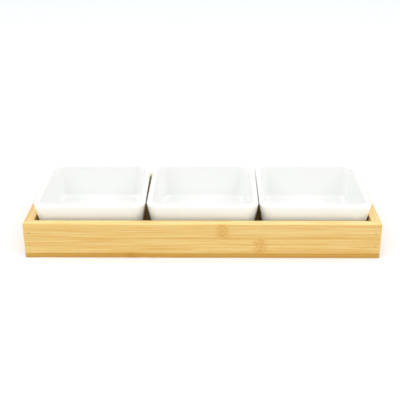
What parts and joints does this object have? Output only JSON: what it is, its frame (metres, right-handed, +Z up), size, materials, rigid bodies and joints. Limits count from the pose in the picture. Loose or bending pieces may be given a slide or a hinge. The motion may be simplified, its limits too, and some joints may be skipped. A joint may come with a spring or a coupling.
{
  "type": "chip and dip server",
  "caption": "Long shallow bamboo tray with a row of square white glazed bowls that lift out, for serving chips, dips and snacks.",
  "frame": {"origin": "middle of the tray's underside, where it rests on the table", "axes": "+X along the tray, from the left bowl to the right bowl; +Y from the front rail to the back rail; +Z up"},
  "size_m": [0.3002, 0.113, 0.0445],
  "materials": {
    "rail_bamboo": "satin lacquer, straight grain along each rail",
    "panel_bamboo": "satin lacquer, straight grain along X",
    "brad_steel": "plain brad, dull",
    "white_porcelain": "gloss white glaze, bare foot ring"
  },
  "bodies": {
    "tray": {"front_rail": "rail_bamboo", "back_rail": "rail_bamboo", "left_end_rail": "rail_bamboo", "right_end_rail": "rail_bamboo", "base_panel": "panel_bamboo", "corner_pin_front_left_low": "brad_steel", "corner_pin_front_left_high": "brad_steel", "corner_pin_front_right_low": "brad_steel", "corner_pin_front_right_high": "brad_steel", "corner_pin_back_left_low": "brad_steel", "corner_pin_back_left_high": "brad_steel", "corner_pin_back_right_low": "brad_steel", "corner_pin_back_right_high": "brad_steel", "base_pin_front_1": "brad_steel", "base_pin_front_2": "brad_steel", "base_pin_front_3": "brad_steel", "base_pin_front_4": "brad_steel", "base_pin_back_1": "brad_steel", "base_pin_back_2": "brad_steel", "base_pin_back_3": "brad_steel", "base_pin_back_4": "brad_steel", "base_pin_left_front": "brad_steel", "base_pin_left_back": "brad_steel", "base_pin_right_front": "brad_steel", "base_pin_right_back": "brad_steel"},
    "left_bowl": {"left_bowl": "white_porcelain"},
    "middle_bowl": {"middle_bowl": "white_porcelain"},
    "right_bowl": {"right_bowl": "white_porcelain"}
  },
  "joints": [
    {"name": "left_bowl_lift", "type": "slide", "parent": "tray", "child": "left_bowl", "axis": [0, 0, 1], "range_m": [0, 0.05]},
    {"name": "middle_bowl_lift", "type": "slide", "parent": "tray", "child": "middle_bowl", "axis": [0, 0, 1], "range_m": [0, 0.05]},
    {"name": "right_bowl_lift", "type": "slide", "parent": "tray", "child": "right_bowl", "axis": [0, 0, 1], "range_m": [0, 0.05]}
  ]
}
